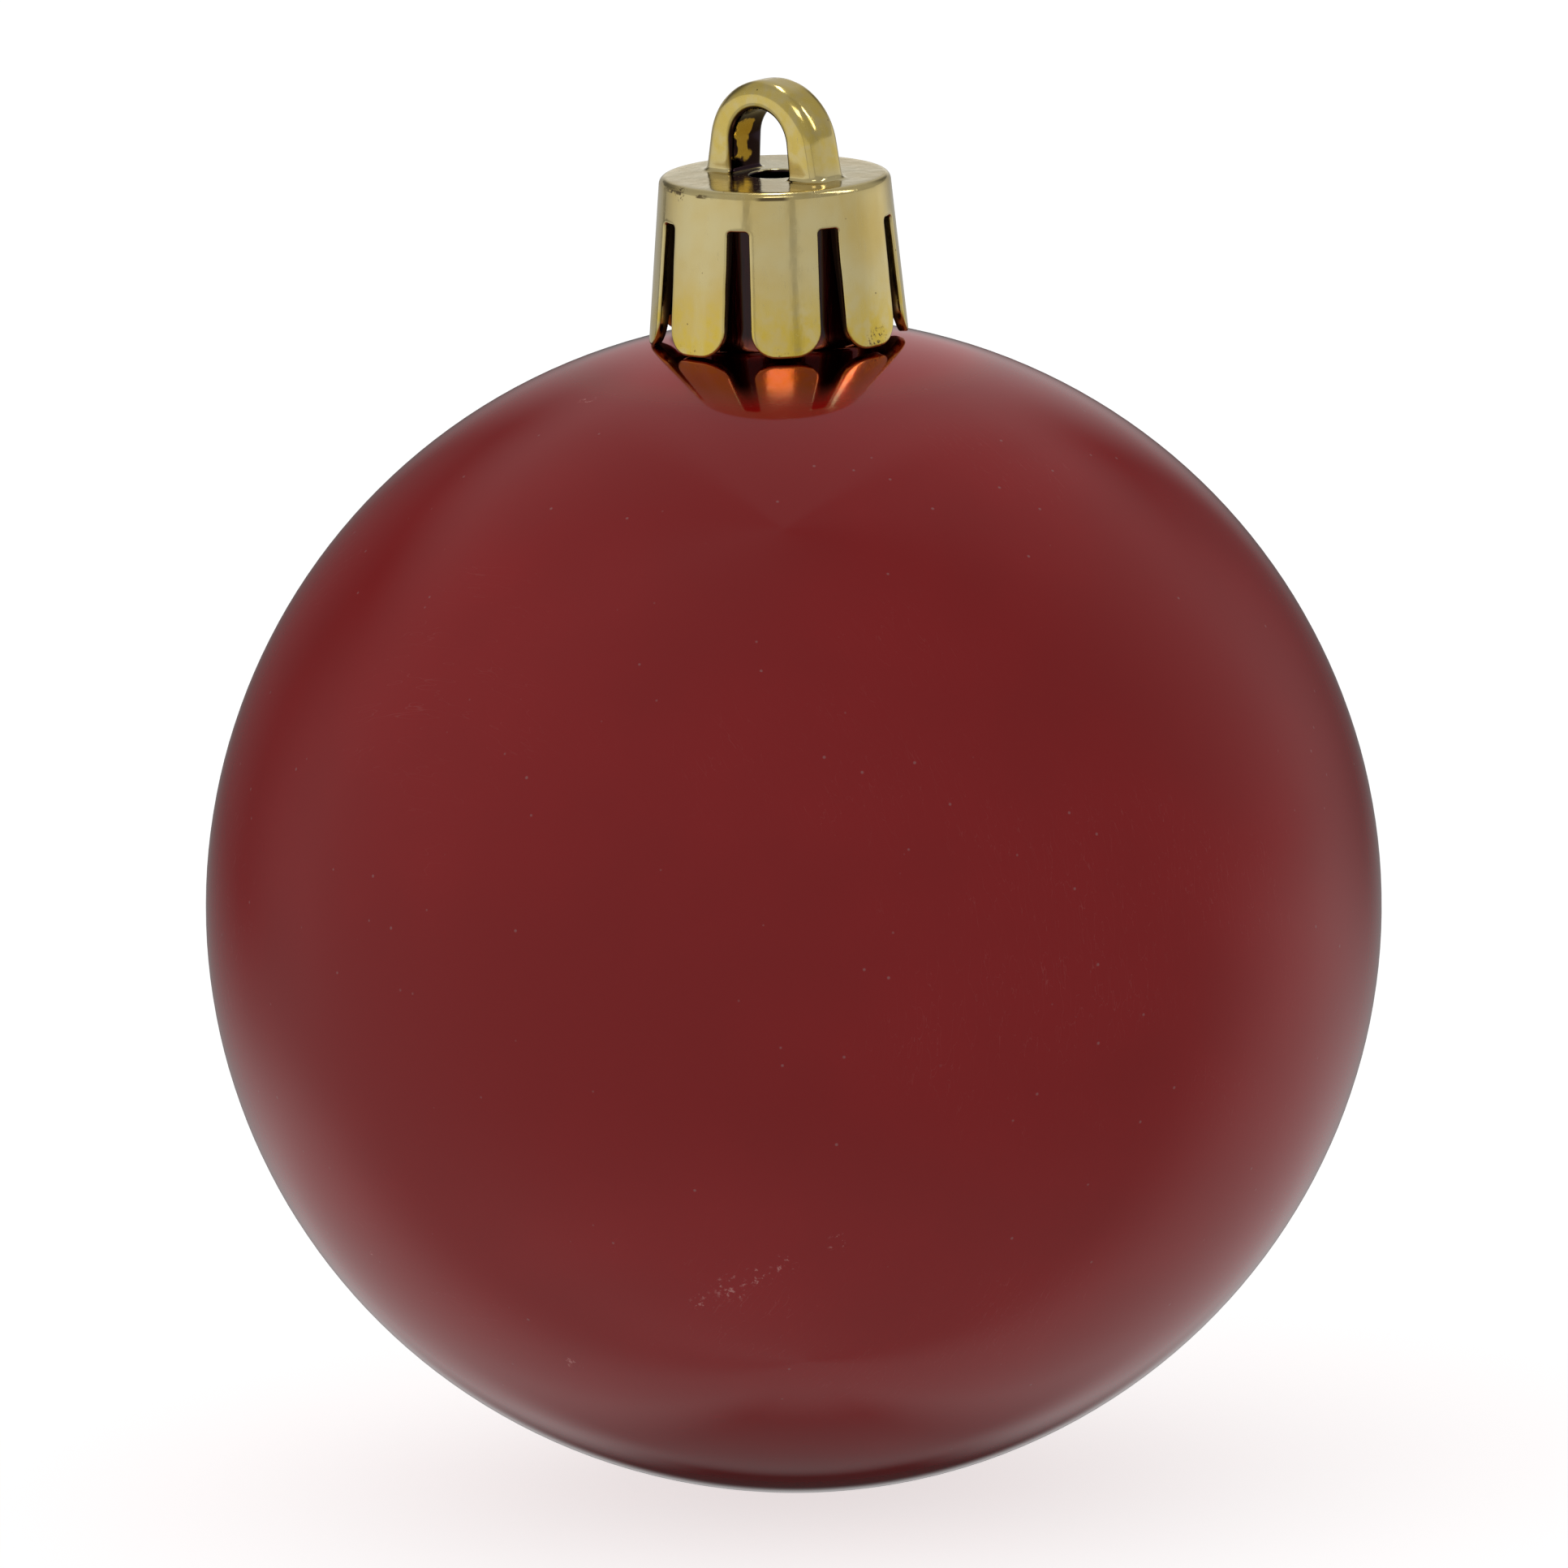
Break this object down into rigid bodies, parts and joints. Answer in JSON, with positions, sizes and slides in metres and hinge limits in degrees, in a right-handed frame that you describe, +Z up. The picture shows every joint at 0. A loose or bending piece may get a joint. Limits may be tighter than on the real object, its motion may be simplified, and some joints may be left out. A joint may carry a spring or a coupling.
{
  "type": "ball ornament",
  "caption": "Hollow round plastic ornament with a red metallised skin and a gold cap that pulls off its neck; the cap's moulded loop hangs it from a hook or thread.",
  "frame": {"origin": "top of the hole in the cap's loop, on the ball's axis, where a hook or thread carries the ornament", "axes": "+Z up along the ball's axis from the ball through its neck and cap; the loop's hole runs along Y and the loop's two legs stand at -X and +X"},
  "size_m": [0.06, 0.06, 0.0727],
  "materials": {
    "red_metallised": "gloss",
    "gold_metallised": "gloss"
  },
  "bodies": {
    "ball": {"ball_shell": "red_metallised"},
    "cap": {"hanger_cap": "gold_metallised"}
  },
  "joints": [
    {"name": "cap_pull_off", "type": "slide", "parent": "ball", "child": "cap", "axis": [0, 0, 1], "range_m": [0, 0.014]}
  ]
}
